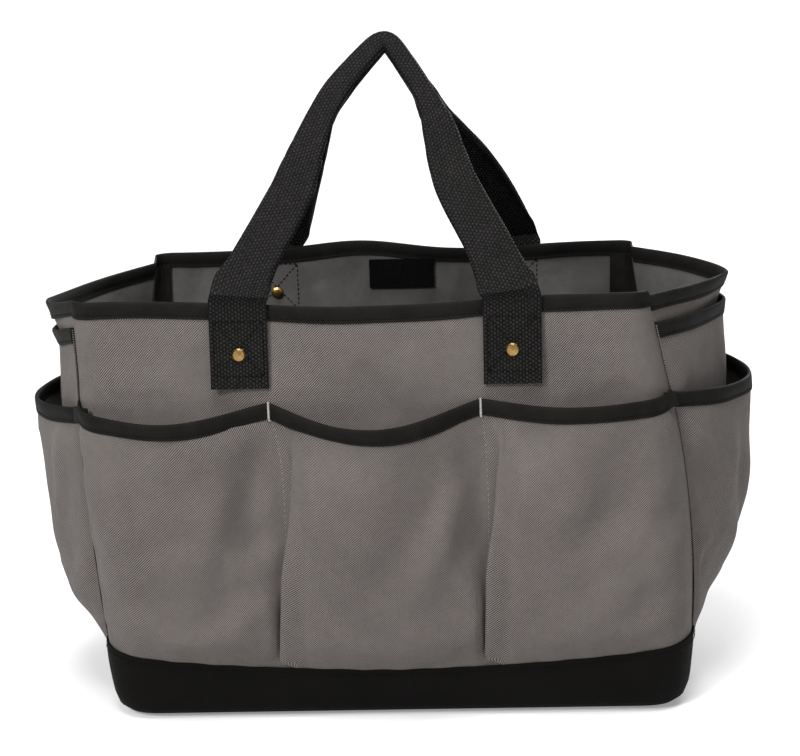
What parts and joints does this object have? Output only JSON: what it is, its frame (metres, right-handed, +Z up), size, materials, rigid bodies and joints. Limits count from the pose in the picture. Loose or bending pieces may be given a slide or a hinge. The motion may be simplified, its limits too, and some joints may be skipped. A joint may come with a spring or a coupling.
{
  "type": "garden tool bag",
  "caption": "Open-top fabric tote for hand tools, with a stiff base, outside pockets all round and webbing handles that fold outwards.",
  "frame": {"origin": "middle of the underside of the base, on the surface that the bag stands on", "axes": "+X to the bag's right as seen from the front, +Y from the front to the back, +Z up; the front faces -Y"},
  "size_m": [0.5131, 0.2742, 0.4588],
  "materials": {
    "wall_cloth": "coated 600-denier polyester, grey-taupe, fine diagonal weave",
    "base_cloth": "coated polyester, black",
    "binding_tape": "woven binding tape, black",
    "webbing": "ribbed polypropylene webbing, black",
    "brass": "polished",
    "board": "stiff sheet",
    "hook_and_loop": "hook-and-loop fastener, black"
  },
  "bodies": {
    "bag": {"base_boot": "base_cloth", "base_board": "board", "front_panel": "wall_cloth", "back_panel": "wall_cloth", "left_end_panel": "wall_cloth", "right_end_panel": "wall_cloth", "front_pocket_left": "wall_cloth", "front_pocket_middle": "wall_cloth", "front_pocket_right": "wall_cloth", "back_pocket_left": "wall_cloth", "back_pocket_middle": "wall_cloth", "back_pocket_right": "wall_cloth", "left_low_pocket": "wall_cloth", "right_low_pocket": "wall_cloth", "left_tall_pocket": "wall_cloth", "right_tall_pocket": "wall_cloth", "front_rim_binding": "binding_tape", "back_rim_binding": "binding_tape", "left_rim_binding": "binding_tape", "right_rim_binding": "binding_tape", "front_pocket_binding": "binding_tape", "back_pocket_binding": "binding_tape", "left_low_pocket_binding": "binding_tape", "right_low_pocket_binding": "binding_tape", "left_tall_pocket_binding": "binding_tape", "right_tall_pocket_binding": "binding_tape", "front_left_seam_tape": "binding_tape", "front_right_seam_tape": "binding_tape", "back_left_seam_tape": "binding_tape", "back_right_seam_tape": "binding_tape", "front_left_handle_tab": "webbing", "front_right_handle_tab": "webbing", "back_left_handle_tab": "webbing", "back_right_handle_tab": "webbing", "front_left_handle_rivet": "brass", "front_right_handle_rivet": "brass", "back_left_handle_rivet": "brass", "back_right_handle_rivet": "brass", "hook_patch": "hook_and_loop", "loop_patch": "hook_and_loop"},
    "front_handle": {"front_handle": "webbing"},
    "back_handle": {"back_handle": "webbing"}
  },
  "joints": [
    {"name": "front_handle_fold", "type": "hinge", "parent": "bag", "child": "front_handle", "pos_m": [0, -0.1054, 0.2958], "axis": [1, 0, 0], "range_deg": [0, 175]},
    {"name": "back_handle_fold", "type": "hinge", "parent": "bag", "child": "back_handle", "pos_m": [0, 0.1054, 0.2958], "axis": [-1, 0, 0], "range_deg": [0, 175]}
  ]
}
